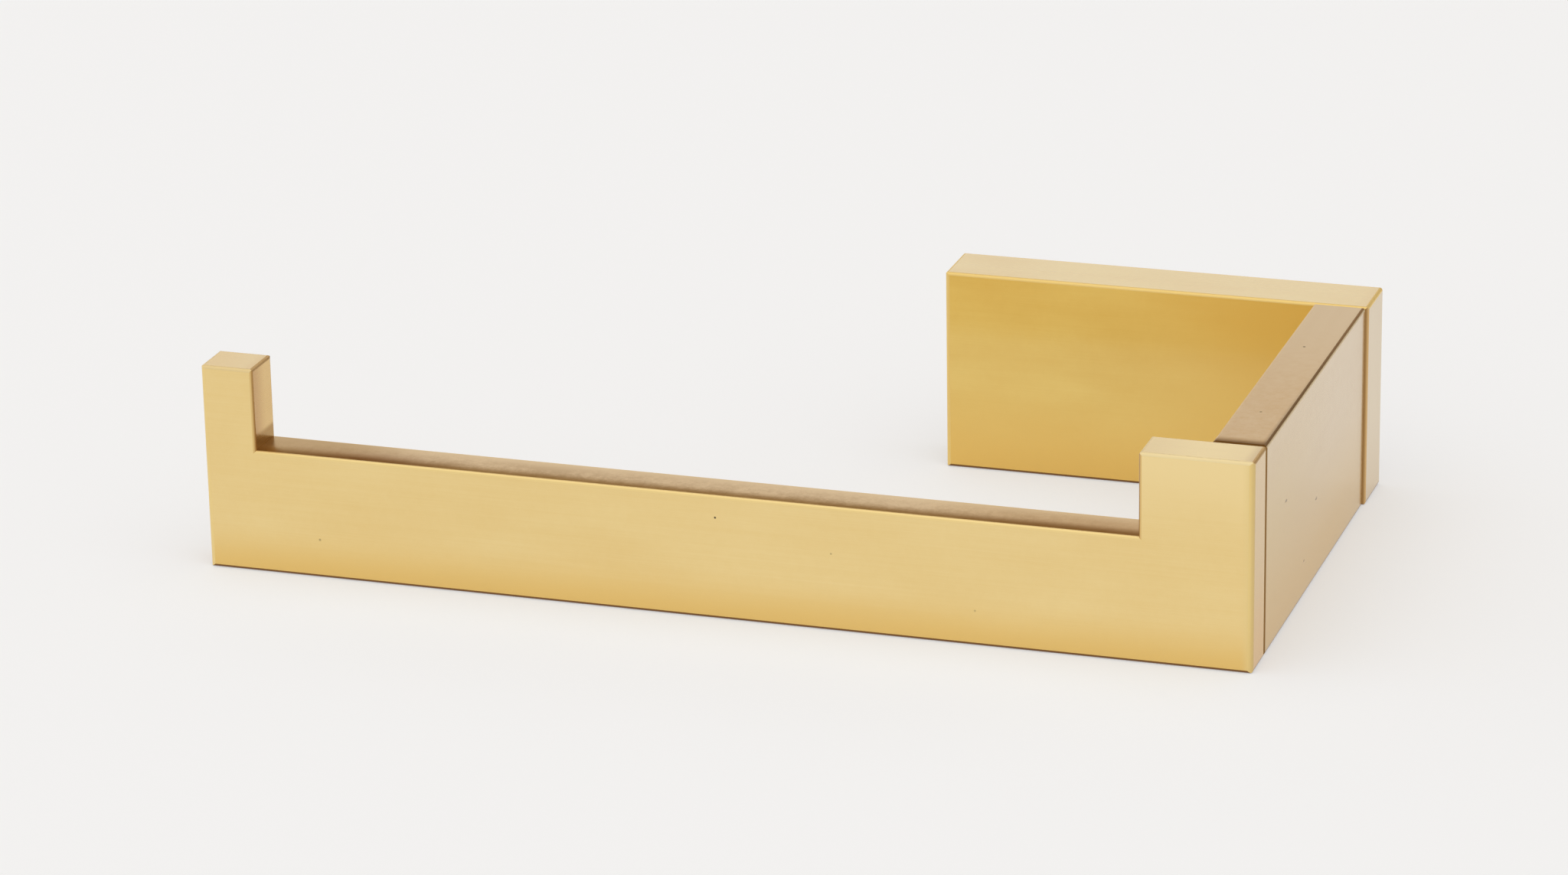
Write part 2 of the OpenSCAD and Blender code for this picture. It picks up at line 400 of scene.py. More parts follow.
@dataclass(frozen=True)
class Grain:
    """Fine parallel scratches, as an abrasive belt leaves them.

    Attributes:
        along: The axis that they run along.
        length: How long one scratch is.
        pitch: How far apart scratches are.
        depth: How deep they are.
        tone: How much they change the colour.
        gloss: How much they change the roughness.
    """

    along: Along
    length: float = 24.0
    pitch: float = 0.22
    depth: float = 0.0012
    tone: float = 1.0
    gloss: float = 0.12

    def noise(self, spot: Spot, finer: float = 1.0) -> Value:
        """Reads the scratches.

        Args:
            spot: The place that is shaded.
            finer: How many times finer than the grain's own sizes.

        Returns:
            Noise around 0.
        """
        steps = [finer / (self.length if axis == self.along else self.pitch) for axis in Along]
        return spot.noise(steps, SCRATCH_DETAIL, SCRATCH_BREAK)


@dataclass(frozen=True)
class Turned(Grain):
    """Fine rings, as a lathe leaves them. The pitch is how far apart they are.

    Attributes:
        centre: A point of the axis that they run round.
        drift: How much of a ring's pitch the rings wander over a millimetre.
    """

    centre: tuple[float, float, float] = (0.0, 0.0, 0.0)
    drift: float = 0.15

    def noise(self, spot: Spot, finer: float = 1.0) -> Value:
        """Reads the rings.

        Args:
            spot: The place that is shaded.
            finer: How many times finer than the grain's own sizes.

        Returns:
            Noise around 0.
        """
        away = [part - middle for part, middle in zip(spot.at, self.centre)]
        height = away.pop(self.along)
        radius = (away[0] * away[0] + away[1] * away[1]) ** 0.5
        step = finer / self.pitch
        wander = (away[0] + away[1]) * self.drift
        where = spot.graph.vector(radius * step, height * step, wander)
        return spot.graph.noise(where, SCRATCH_DETAIL, SCRATCH_BREAK)


@dataclass(frozen=True)
class Roll:
    """An edge where the polishing wheel has rolled the surface over a little.

    Attributes:
        axis: The axis that is square to the edge, along the surface.
        edge: Where the edge is on that axis.
        inward: Which way the surface lies from the edge, 1 or -1.
        width: How far in the roll reaches.
        drop: How much lower the surface is at the edge.
    """

    axis: Along
    edge: float
    inward: int
    width: float
    drop: float

    def height(self, spot: Spot) -> Value:
        """Gives the height that the roll takes away.

        Args:
            spot: The place that is shaded.

        Returns:
            The height in millimetres, 0 or less.
        """
        inside = (spot.at[self.axis] - self.edge) * (self.inward / self.width)
        short = (1 - inside).larger(0.0)
        return short * short * -self.drop


@dataclass(frozen=True)
class Band:
    """A strip beside an edge whose colour paints light and shade there: a darker strip is painted shade,
    a paler one a painted highlight.

    Attributes:
        axis: The axis that is square to the edge, along the surface.
        edge: Where the edge is on that axis.
        width: How far from the edge the strip reaches.
        colour: The strip's linear colour.
        strength: How much of that colour it takes at the edge, from 0 to 1.
        soft: The share of its width over which it fades.
        fade: An axis along which it weakens, with where it is at its full strength and where
            it has gone.
    """

    axis: Along
    edge: float
    width: float
    colour: Colour
    strength: float = 1.0
    soft: float = 1.0
    fade: tuple[Along, float, float] | None = None

    def share(self, spot: Spot) -> Value:
        """Says how much of the strip's colour a place takes.

        Args:
            spot: The place that is shaded.

        Returns:
            The share, from 0 to 1.
        """
        away = abs(spot.at[self.axis] - self.edge)
        share = away.eased(self.width, self.width * (1 - self.soft)) * self.strength
        if self.fade:
            axis, full, gone = self.fade
            share = share * spot.at[axis].eased(gone, full)
        return share


@dataclass(frozen=True)
class Pit:
    """A tiny dark pit in the surface.

    Attributes:
        centre: Where it is.
        radius: How far it reaches from there, in millimetres.
        depth: How dark it is, from 0 to 1.
        drawn: How many times longer the belt has drawn it out along each axis.
    """

    centre: tuple[float, float, float]
    radius: float
    depth: float = 0.7
    drawn: tuple[float, float, float] = (1.0, 1.0, 1.0)

    def share(self, spot: Spot) -> Value:
        """Says how dark a place is.

        Args:
            spot: The place that is shaded.

        Returns:
            The darkness, which falls to 0 outside the pit.
        """
        away = [
            (part - middle) / longer
            for part, middle, longer in zip(spot.at, self.centre, self.drawn)
        ]
        where = spot.graph.vector(*away)
        node = spot.graph.add("ShaderNodeVectorMath", {"operation": "LENGTH"}, {0: where})
        distance = spot.graph.value(node, "Value")
        return distance.eased(self.radius, self.radius * PIT_CORE) * self.depth


def new_material(name: str) -> tuple[bpy.types.Material, Graph]:
    """Makes a material with an empty graph.

    Args:
        name: Its name.

    Returns:
        The material and its graph.
    """
    material = bpy.data.materials.new(name)
    material.use_nodes = True
    material.node_tree.nodes.clear()
    return material, Graph(material.node_tree)


@dataclass(frozen=True)
class Finish:
    """A surface finish.

    Attributes:
        name: The material's name.
        colour: Linear colour of the bare metal, straight on.
        roughness: Roughness of the metal.
        grain: Its scratches.
    """

    name: str
    colour: Colour
    roughness: float
    grain: Grain

    def material(self) -> bpy.types.Material:
        """Builds the material, once for each name.

        Returns:
            The material.
        """
        if self.name in bpy.data.materials:
            return bpy.data.materials[self.name]
        material, graph = new_material(self.name)
        spot = Spot(graph, tuple(part * (1 / MM) for part in graph.place()))
        height, sockets = self.shade(spot)
        bump = graph.add(
            "ShaderNodeBump", sockets={"Height": height * MM, "Distance": 1.0, "Strength": 1.0},
        )
        sockets.update({"Metallic": 1.0, "Normal": bump.outputs[0]})
        shader = graph.add("ShaderNodeBsdfPrincipled", sockets=sockets)
        graph.add("ShaderNodeOutputMaterial", sockets={"Surface": shader.outputs[0]})
        return material

    def shade(self, spot: Spot) -> tuple[Value, dict[str, object]]:
        """Works out the surface.

        Args:
            spot: The place that is shaded.

        Returns:
            The surface's height in millimetres, and what goes into the shader's sockets.
        """
        raise NotImplementedError


@dataclass(frozen=True)
class BrassFinish(Finish):
    """Brass with one kind of surface.

    Attributes:
        warm: Linear colour of the darker streaks and the mottling, as a share of the colour.
        mottle: How much the colour drifts over a few centimetres.
        lacquer: Strength of the clear lacquer.
        lacquer_roughness: Roughness of the lacquer.
        lacquer_ior: Refractive index of the lacquer.
        stretch: How much the brushing stretches highlights, from 0 to 1.
        grit: Depth of a fine, even graininess, in millimetres.
        speckle: How much the colour varies over a millimetre or two.
        rolls: Edges that are rolled over.
        bands: Strips of painted shade and of painted highlight beside edges.
        pits: Tiny dark pits.
    """

    warm: Colour = (0.94, 0.88, 0.76)
    mottle: float = 1.2
    lacquer: float = 1.0
    lacquer_roughness: float = 0.12
    lacquer_ior: float = 1.5
    stretch: float = 0.0
    grit: float = 0.0
    speckle: float = 0.0
    rolls: tuple[Roll, ...] = ()
    bands: tuple[Band, ...] = ()
    pits: tuple[Pit, ...] = ()

    def shade(self, spot: Spot) -> tuple[Value, dict[str, object]]:
        """Works out brushed or milled brass under its lacquer.

        Args:
            spot: The place that is shaded.

        Returns:
            The surface's height in millimetres, and what goes into the shader's sockets.
        """
        fine = self.grain.noise(spot)
        broad = self.grain.noise(spot, finer=BROAD)
        drift = [DRIFT_ALONG if axis == self.grain.along else DRIFT_ACROSS for axis in Along]
        clouds = spot.noise(drift)
        streaks = fine * FINE_SHARE + broad * (1 - FINE_SHARE)
        shade = 0.5 + streaks * self.grain.tone + clouds * self.mottle
        if self.speckle:
            shade = shade + spot.noise([SPECKLE_STEP] * 3, 4.0, CRUMBLE) * self.speckle
        shade = shade.larger(0.0).smaller(1.0)
        blend = spot.graph.blend
        colour = blend(shade, tinted(self.colour, *self.warm), self.colour)
        gloss = self.roughness + streaks * self.grain.gloss
        height = streaks * self.grain.depth
        if self.grit:
            height = height + spot.noise([GRIT_STEP] * 3, 3.0, CRUMBLE) * self.grit
        for roll in self.rolls:
            height = height + roll.height(spot)
        # Painted light: darker bands paint shade, paler ones a highlight.
        for band in self.bands:
            colour = blend(band.share(spot), colour, band.colour)
        for pit in self.pits:
            mark = pit.share(spot)
            colour = blend(mark, colour, PIT_BROWN)
            gloss = gloss + mark * PIT_DULLING
        return height, {
            "Base Color": colour,
            "Roughness": gloss,
            "Coat Weight": self.lacquer,
            "Coat Roughness": self.lacquer_roughness,
            "Coat IOR": self.lacquer_ior,
            "Anisotropic": self.stretch,
            "Anisotropic Rotation": QUARTER_TURN,
        }


@dataclass(frozen=True)
class SteelFinish(Finish):
    """Steel with one kind of surface.

    Attributes:
        grit: Depth of its even graininess, in millimetres.
        grit_step: Steps of the graininess over a millimetre.
        grit_tone: How much it changes the colour.
        grit_gloss: How much it changes the roughness.
        cloud_step: Steps of the dull patches over a millimetre.
        cloud_tone: How much they change the colour.
        dull: How much darker they are, as a share of the colour.
        middle: How bright the metal is between dull and bright, from 0 to 1.
    """

    grit: float = 0.002
    grit_step: float = 4.0
    grit_tone: float = 0.5
    grit_gloss: float = 0.1
    cloud_step: float = 0.12
    cloud_tone: float = 0.6
    dull: float = 0.72
    middle: float = 0.6

    def shade(self, spot: Spot) -> tuple[Value, dict[str, object]]:
        """Works out bare steel.

        Args:
            spot: The place that is shaded.

        Returns:
            The surface's height in millimetres, and what goes into the shader's sockets.
        """
        streaks = self.grain.noise(spot)
        grit = spot.noise([self.grit_step] * 3, 4.0, CRUMBLE)
        clouds = spot.noise([self.cloud_step] * 3)
        shade = self.middle + streaks * self.grain.tone + grit * self.grit_tone + clouds * self.cloud_tone
        shade = shade.larger(0.0).smaller(1.0)
        dark = tinted(self.colour, self.dull, self.dull, self.dull)
        return streaks * self.grain.depth + grit * self.grit, {
            "Base Color": spot.graph.blend(shade, dark, self.colour),
            "Roughness": self.roughness + streaks * self.grain.gloss + grit * self.grit_gloss,
        }


# ---------------------------------------------------------------------------------------
# Pieces
# ---------------------------------------------------------------------------------------


@dataclass(frozen=True)
class Box:
    """The box of a CAD node, in millimetres.

    Attributes:
        low: Its lowest corner.
        high: Its highest corner.
    """

    low: Vector
    high: Vector

    @classmethod
    def of(cls, node: str) -> "Box":
        """Reads the box of a CAD node."""
        low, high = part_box(node)
        return cls(low / MM, high / MM)

    @property
    def centre(self) -> Vector:
        """Its middle."""
        return (self.low + self.high) / 2

    @property
    def size(self) -> Vector:
        """Its three sizes."""
        return self.high - self.low


def show(name: str, mesh: bpy.types.Mesh, node: str) -> bpy.types.Object:
    """Puts a finished mesh in the scene, in place of a CAD node.

    Args:
        name: The new piece's name.
        mesh: Its mesh, in metres and in place.
        node: The CAD node that it stands for.

    Returns:
        The piece.
    """
    mesh.name = name
    piece = bpy.data.objects.new(name, mesh)
    bpy.context.scene.collection.objects.link(piece)
    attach(piece, BODY)
    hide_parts(node)
    LOG.info("%s: %d faces, for %s", name, len(mesh.polygons), node)
    return piece


@dataclass
class Piece:
    """One piece of the holder, with a mesh of its own.

    Attributes:
        node: The CAD node that it stands for.
        name: The piece's own name.
        slot: The material slot of the record that it stands for. It is not used.
    """

    node: str
    name: str
    slot: str

    def __post_init__(self) -> None:
        """Reads the CAD node's box."""
        self.box = Box.of(self.node)


class Face(Enum):
    """What a face of a machined piece is."""

    FRONT = "front"  # flat, and square to Y
    TOP = "top"  # flat, and square to Z
    SIDE = "side"  # flat, and square to X
    BACK = "back"  # the plate's back
    SEAT = "seat"  # the notch's floor
    WALL = "wall"  # a wall of the notch
    BORE = "bore"  # inside a hole for a screw or a pin
    POCKET = "pocket"  # milled into the plate's back
    EDGE = "edge"  # an eased edge with no kind of its own
    FOOT = "foot"  # an edge underneath
    CREST = "crest"  # an edge along the top
    RIM = "rim"  # a top edge on the outer side
    CORNER = "corner"  # an upright edge at the front of the outer side
    SEAM = "seam"  # an upright edge in the notch, or where the arm meets the post
    LIP = "lip"  # a thin edge at the back of the post or of the arm, painted as a bright highlight
    END = "end"  # the arm's top edge where it meets the post


@dataclass
class MachinedPiece(Piece):
    """A machined piece whose faces are sorted by how each one was finished.

    Attributes:
        bore_reach: How far the walls of the screw and pin holes may lie from their line.
        skin: How far inside its outline a face lies to count as drilled or milled.
    """

    bore_reach: float = 3.8
    skin: float = 0.9

    def __post_init__(self) -> None:
        """Reads the boxes that the faces are sorted by."""
        super().__post_init__()
        self.tie_x = Box.of("tie_screw_upper").centre.x

    def finishes(self) -> dict[Face, Finish]:
        """Gives the finish of each kind of face."""
        raise NotImplementedError

    def drilled(self, place: Vector) -> bool:
        """Tells whether a face belongs to a hole for a tie screw or a pin.

        Args:
            place: The face's middle, in millimetres.

        Returns:
            Whether it does.
        """
        near = abs(place.x - self.tie_x) < self.bore_reach
        within = self.box.low.z + self.skin < place.z < self.box.high.z - self.skin
        sunk = self.box.low.y + self.skin / 2 < place.y < self.box.high.y - self.skin / 2
        return near and within and sunk

    def sort(self, place: Vector, normal: Vector) -> Face:
        """Says what a face is.

        Args:
            place: The face's middle, in millimetres.
            normal: The way it looks.

        Returns:
            The kind of face.
        """
        if self.drilled(place):
            return Face.BORE
        if abs(normal.y) > FLAT:
            return Face.FRONT
        if abs(normal.z) > FLAT:
            return Face.TOP
        if abs(normal.x) > FLAT:
            return Face.SIDE
        return Face.FOOT if normal.z < -UPRIGHT else Face.EDGE

    def build(self) -> bpy.types.Object:
        """Copies the CAD node's mesh, dresses its faces and shows the copy.

        Returns:
            The piece.
        """
        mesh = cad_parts[self.node].data.copy()
        normals = [Vector(corner.vector) for corner in mesh.corner_normals]
        shape = bmesh.new()
        shape.from_mesh(mesh)
        bmesh.ops.remove_doubles(shape, verts=shape.verts, dist=WELD * MM)
        shape.to_mesh(mesh)
        shape.free()
        mesh.normals_split_custom_set(normals)
        finishes = self.finishes()
        kinds = list(finishes)
        mesh.materials.clear()
        for kind in kinds:
            mesh.materials.append(finishes[kind].material())
        for polygon in mesh.polygons:
            kind = self.sort(polygon.center / MM, polygon.normal)
            polygon.material_index = kinds.index(kind)
        return show(self.name, mesh, self.node)


BELT_X = Grain(Along.X)
BELT_Y = Grain(Along.Y)
BELT_Z = Grain(Along.Z)
MILLED = Grain(Along.X, length=9.0, pitch=0.5, depth=0.004, tone=0.5, gloss=0.2)
TURNED_Y = Grain(Along.Y, length=0.15, pitch=6.0, depth=0.003, tone=0.5, gloss=0.15)

# The brass is one metal, yet each kind of face takes its own gold here: partly for its finish, partly as
# painted light and shade, set by how brightly each face catches the light.
GOLD = display(244, 217, 150)
TOP_GOLD = display(245, 216, 142)
POST_SIDE = display(220, 185, 114)
ARM_SIDE = display(211, 182, 130)
PLATE_SIDE = display(213, 187, 134)
SEAT_GOLD = display(229, 197, 148)
WALL_GOLD = display(227, 192, 124)
PLATE_GOLD = display(247, 219, 130)
PIT_BROWN = display(78, 56, 30)
# The next two browns are painted shade for edges and corners.
SHADE_BROWN = display(136, 94, 52)
EDGE_SHADE_BROWN = display(112, 72, 34)

# The eased edges are a little paler than the gold of the faces, which paints a faint highlight along
# them.
EASED = BrassFinish(
    "brass_eased_edge_painted_highlight", display(247, 222, 156), 0.46, BELT_X, mottle=0.3,
    lacquer=0.4, lacquer_roughness=0.35,
)
# Painted shade: the edges underneath are dark brown, as if in the holder's own shadow.
FOOT = BrassFinish("brass_foot_painted_shade", display(132, 92, 48), 0.36, BELT_X, mottle=0.3, lacquer=0.3)
# Painted shade: the edges at the seams are brown, as the shade in the gap between two pieces.
SEAM = BrassFinish("brass_seam_painted_shade", display(150, 116, 70), 0.45, BELT_Z, mottle=0.3, lacquer=0.0)
# Painted highlight: a pale, nearly white edge beside a seam.
LIP = BrassFinish("brass_lip_painted_highlight", display(254, 240, 206), 0.6, BELT_Z, mottle=0.3, lacquer=0.0)
BORED = BrassFinish(
    "brass_bored", display(214, 184, 120), 0.34, TURNED_Y, lacquer=0.0, warm=(0.75, 0.66, 0.55),
)


@dataclass
class FrontBar(MachinedPiece):
    """The bar that carries the roll, with its hook, its notch and its post.

    Attributes:
        notch_depth: How far the notch's floor lies under the top.
        hook_width: Width of the hook at the free end.
        post_width: Width of the post at the other end.
    """

    node: str = "front_bar"
    name: str = "bar"
    slot: str = "bar_brass"
    notch_depth: float = 14.0
    hook_width: float = 9.1
    post_width: float = 18.4

    def finishes(self) -> dict[Face, Finish]:
        """Gives the finish of each kind of face.

        Returns:
            The finishes, by kind of face.
        """
        low, high = self.box.low, self.box.high
        floor = high.z - self.notch_depth
        hook = low.x + self.hook_width
        post = high.x - self.post_width
        # Painted light on the front: lower paints a darker, more orange shade towards the bottom, upper a
        # paler highlight towards the top that fades out over the post, and the third band a little shade
        # at the right-hand end.
        lower = Band(Along.Z, low.z, 9.0, tinted(GOLD, 0.92, 0.8, 0.52))
        upper = Band(Along.Z, high.z, 15.0, tinted(GOLD, 1.03, 1.04, 1.1), fade=(Along.X, post, 0.0))
        # Painted shade for the notch's inner corners, and the pale colour of the painted highlight along
        # the top edges.
        notch_corner_shade = tinted(GOLD, 0.52, 0.38, 0.22)
        crest = display(249, 235, 193)
        return {
            Face.FRONT: BrassFinish(
                "bar_brushed_front", GOLD, 0.3, BELT_X, stretch=0.55, speckle=0.4,
                bands=(
                    lower, upper, Band(Along.X, high.x, 2.2, tinted(GOLD, 0.93, 0.92, 0.86), 0.9),
                ),
                pits=(
                    Pit((-51.8, low.y, -0.2), 0.24, 1.0),
                    Pit((-32.5, low.y, -4.4), 0.22, 0.4),
                    Pit((-120.2, low.y, -10.9), 0.28, 0.45),
                    Pit((-8.8, low.y, -11.6), 0.25, 0.3),
                ),
            ),
            Face.TOP: BrassFinish(
                "bar_satin_top", TOP_GOLD, 0.26, BELT_X, speckle=0.6,
                # Painted light on the tops: shade over the hook's top and beside its inner edge, a paler
                # highlight over the post's top, and shade along the post's right-hand edge.
                bands=(
                    Band(Along.X, low.x, 12.0, tinted(TOP_GOLD, 0.95, 0.85, 0.62)),
                    Band(Along.X, hook, 2.5, tinted(TOP_GOLD, 0.86, 0.7, 0.4), 0.7),
                    Band(Along.X, high.x - 8.0, 11.0, tinted(TOP_GOLD, 1.06, 1.05, 1.0)),
                    Band(Along.X, high.x, 2.4, tinted(TOP_GOLD, 0.66, 0.54, 0.36), 0.8),
                ),
            ),
            Face.SIDE: BrassFinish(
                "bar_satin_side", POST_SIDE, 0.24, BELT_Z, lacquer=0.55,
                # Painted shade, darker and more orange towards the bottom.
                bands=(Band(Along.Z, low.z, 22.0, tinted(POST_SIDE, 1.04, 0.86, 0.34)),),
            ),
            Face.SEAT: BrassFinish(
                "bar_milled_notch", SEAT_GOLD, 0.3, MILLED, lacquer=0.0, grit=0.006, mottle=3.0,
                speckle=3.0, warm=(0.76, 0.7, 0.6),
                rolls=(Roll(Along.Y, low.y, 1, 3.6, 0.42),),
                # Painted light on the notch's floor: a paler highlight towards the back, and painted
                # shade along its front edge, beside the hook and beside the post.
                bands=(
                    Band(Along.Y, high.y, 5.0, tinted(SEAT_GOLD, 1.1, 1.14, 1.2), 0.9),
                    Band(
                        Along.Y, low.y, 3.0, tinted(SEAT_GOLD, 0.7, 0.56, 0.18), 0.7,
                        fade=(Along.X, hook + 12.0, hook),
                    ),
                    Band(Along.X, hook, 30.0, tinted(SEAT_GOLD, 0.58, 0.44, 0.12), 0.56, soft=0.6),
                    Band(
                        Along.X, post, 44.0, tinted(SEAT_GOLD, 0.66, 0.5, 0.26), 0.72,
                        fade=(Along.Y, low.y + 1.5, high.y + 2.0),
                    ),
                    Band(
                        Along.X, hook + 19.0, 20.0, tinted(SEAT_GOLD, 0.4, 0.2, 0.0), 0.75,
                        fade=(Along.Y, low.y + 0.5, low.y + 6.5),
                    ),
                    Band(
                        Along.X, post - 14.0, 26.0, tinted(SEAT_GOLD, 0.42, 0.24, 0.0), 0.5,
                        fade=(Along.Y, low.y + 0.5, low.y + 4.5),
                    ),
                ),
            ),
            Face.WALL: BrassFinish(
                "bar_milled_wall", WALL_GOLD, 0.28, BELT_Y, lacquer=0.25,
                # Painted shade towards the front and in the corner with the notch's floor.
                bands=(
                    Band(Along.Y, low.y + 0.5, 5.0, tinted(WALL_GOLD, 0.76, 0.64, 0.54)),
                    Band(Along.Z, floor, 3.0, tinted(WALL_GOLD, 0.56, 0.43, 0.14), soft=0.35),
                ),
            ),
            Face.EDGE: EASED,
            # The crest's pale colour paints a highlight along the top edges, and its band paints shade
            # over it on the hook.
            Face.CREST: BrassFinish(
                "bar_crest_painted_highlight", crest, 0.7, BELT_X, mottle=0.3,
                lacquer=0.3, lacquer_roughness=0.5,
                bands=(Band(Along.X, low.x, 12.0, tinted(crest, 0.92, 0.85, 0.71), soft=0.25),),
            ),
            Face.FOOT: FOOT,
            Face.LIP: LIP,
            # Painted shade: the uprights in the notch are darker, and brown in its corners at the hook
            # and at the post.
            Face.SEAM: BrassFinish(
                "bar_notch_upright_painted_shade", tinted(GOLD, 0.86, 0.78, 0.66), 0.3, BELT_Z,
                bands=(
                    Band(Along.X, hook, 0.34, notch_corner_shade, soft=0.6),
                    Band(Along.X, post, 0.34, notch_corner_shade, soft=0.6),
                ),
            ),
            # Painted shade on the side's half of the post's front corner.
            Face.CORNER: BrassFinish(
                "bar_post_corner_painted_shade", tinted(GOLD, 0.96, 0.96, 0.92), 0.45, BELT_Z,
                lacquer=0.5, lacquer_roughness=0.4,
                bands=(Band(Along.X, high.x, 0.7, tinted(GOLD, 0.78, 0.75, 0.68)),),
            ),
            # Painted shade: the outer top edge darkens towards its top, as a dark reflection.
            Face.RIM: BrassFinish(
                "bar_rim_painted_shade", display(226, 192, 132), 0.5, BELT_Y, lacquer=0.2,
                bands=(Band(Along.Z, high.z - 0.35, 0.28, SHADE_BROWN, 0.4, soft=0.8),),
            ),
            Face.BORE: BORED,
        }

    def sort(self, place: Vector, normal: Vector) -> Face:
        """Says what a face is, with the notch's floor and walls as kinds of their own.

        Args:
            place: The face's middle, in millimetres.
            normal: The way it looks.

        Returns:
            The kind of face.
        """
        kind = super().sort(place, normal)
        floor = self.box.high.z - self.notch_depth
        notch_low = self.box.low.x + self.hook_width - self.skin
        notch_high = self.box.high.x - self.post_width + self.skin
        upright = kind is Face.EDGE and abs(normal.z) < UPRIGHT
        if notch_low < place.x < notch_high and place.z > floor - self.skin:
            if kind is Face.TOP and place.z < floor + self.skin:
                return Face.SEAT
            if kind is Face.SIDE:
                return Face.WALL
            if upright:
                return Face.SEAM
        if upright and place.x > notch_high:
            return Face.CORNER if place.y < self.box.centre.y else Face.LIP
        if kind is Face.EDGE and normal.x > UPRIGHT and normal.z > UPRIGHT:
            return Face.RIM
        if kind is Face.EDGE and not upright and place.z > self.box.high.z - self.skin:
            return Face.LIP if place.x > notch_high and normal.y > UPRIGHT else Face.CREST
        return kind


@dataclass
class SideArm(MachinedPiece):
    """The block between the bar and the wall plate."""

    node: str = "side_arm"
    name: str = "arm"
    slot: str = "arm_brass"

    def finishes(self) -> dict[Face, Finish]:
        """Gives the finish of each kind of face.

        Returns:
            The finishes, by kind of face.
        """
        low, high = self.box.low, self.box.high
        top = display(231, 201, 156)
        return {
            Face.FRONT: BORED,
            Face.TOP: BrassFinish(
                "arm_blasted_top", top, 0.36, BELT_Y, lacquer=0.0, grit=0.004, speckle=2.8,
                rolls=(
                    Roll(Along.X, high.x, -1, 1.2, 0.1),
                    Roll(Along.Y, low.y, 1, 3.0, 0.4),
                ),
                # Painted light on the top: a paler highlight towards the plate, a dark reflection along
                # the outer edge, and shade where the top meets the post.
                bands=(
                    Band(Along.Y, high.y, 60.0, tinted(top, 1.01, 1.06, 1.14)),
                    Band(Along.X, high.x, 1.2, EDGE_SHADE_BROWN, 0.7, fade=(Along.Y, low.y, -40.0)),
                    Band(Along.Y, low.y, 2.2, tinted(top, 0.34, 0.24, 0.14), 0.9),
                ),
                pits=(Pit((30.9, -33.2, high.z), 0.3, 0.8), Pit((31.5, -65.8, high.z), 0.28, 0.6)),
            ),
            Face.SIDE: BrassFinish(
                "arm_satin_side", ARM_SIDE, 0.22, BELT_Y, lacquer=0.55, mottle=2.0, speckle=2.0,
                # Painted shade, more orange, over the lower part towards the post and towards the bottom.
                bands=(
                    Band(
                        Along.Y, low.y, 50.0, tinted(ARM_SIDE, 0.98, 0.88, 0.25), 0.7,
                        fade=(Along.Z, 0.0, 24.0),
                    ),
                    Band(
                        Along.Z, low.z, 24.0, tinted(ARM_SIDE, 0.98, 0.78, 0.04),
                        fade=(Along.Y, -40.0, 30.0),
                    ),
                ),
                pits=(
                    Pit((high.x, -67.2, 3.5), 0.3, 0.7, (1.0, 3.0, 1.0)),
                    Pit((high.x, -45.8, -3.8), 0.3, 0.6, (1.0, 3.0, 1.0)),
                    Pit((high.x, -54.1, -11.5), 0.25, 0.5, (1.0, 3.0, 1.0)),
                ),
            ),
            Face.EDGE: EASED,
            Face.LIP: LIP,
            Face.END: BrassFinish(
                "arm_shadowed_end", display(112, 78, 36), 0.5, BELT_X, mottle=0.3, lacquer=0.0,
            ),
            # Painted light: the outer top edge is a dark reflection, paler towards the plate, with a thin
            # painted highlight along its outer line.
            Face.RIM: BrassFinish(
                "arm_rim_painted_shade_and_highlight", display(142, 110, 66), 0.5, BELT_Y, lacquer=0.0,
                bands=(
                    Band(Along.Y, high.y, 45.0, display(172, 134, 86), 0.8),
                    Band(Along.X, high.x, 0.16, display(222, 202, 164), soft=0.6),
                ),
            ),
            Face.FOOT: FOOT,
            Face.SEAM: SEAM,
            Face.BORE: BORED,
        }

    def sort(self, place: Vector, normal: Vector) -> Face:
        """Says what a face is, with its top edges and the edges at its two ends apart.

        Args:
            place: The face's middle, in millimetres.
            normal: The way it looks.

        Returns:
            The kind of face.
        """
        kind = super().sort(place, normal)
        if kind is not Face.EDGE:
            return kind
        at_post = place.y < self.box.centre.y
        if abs(normal.z) < UPRIGHT:
            return Face.SEAM if at_post else Face.LIP
        if abs(normal.x) < UPRIGHT:
            return Face.END if at_post else Face.EDGE
        return Face.RIM if place.x > self.box.centre.x else Face.TOP


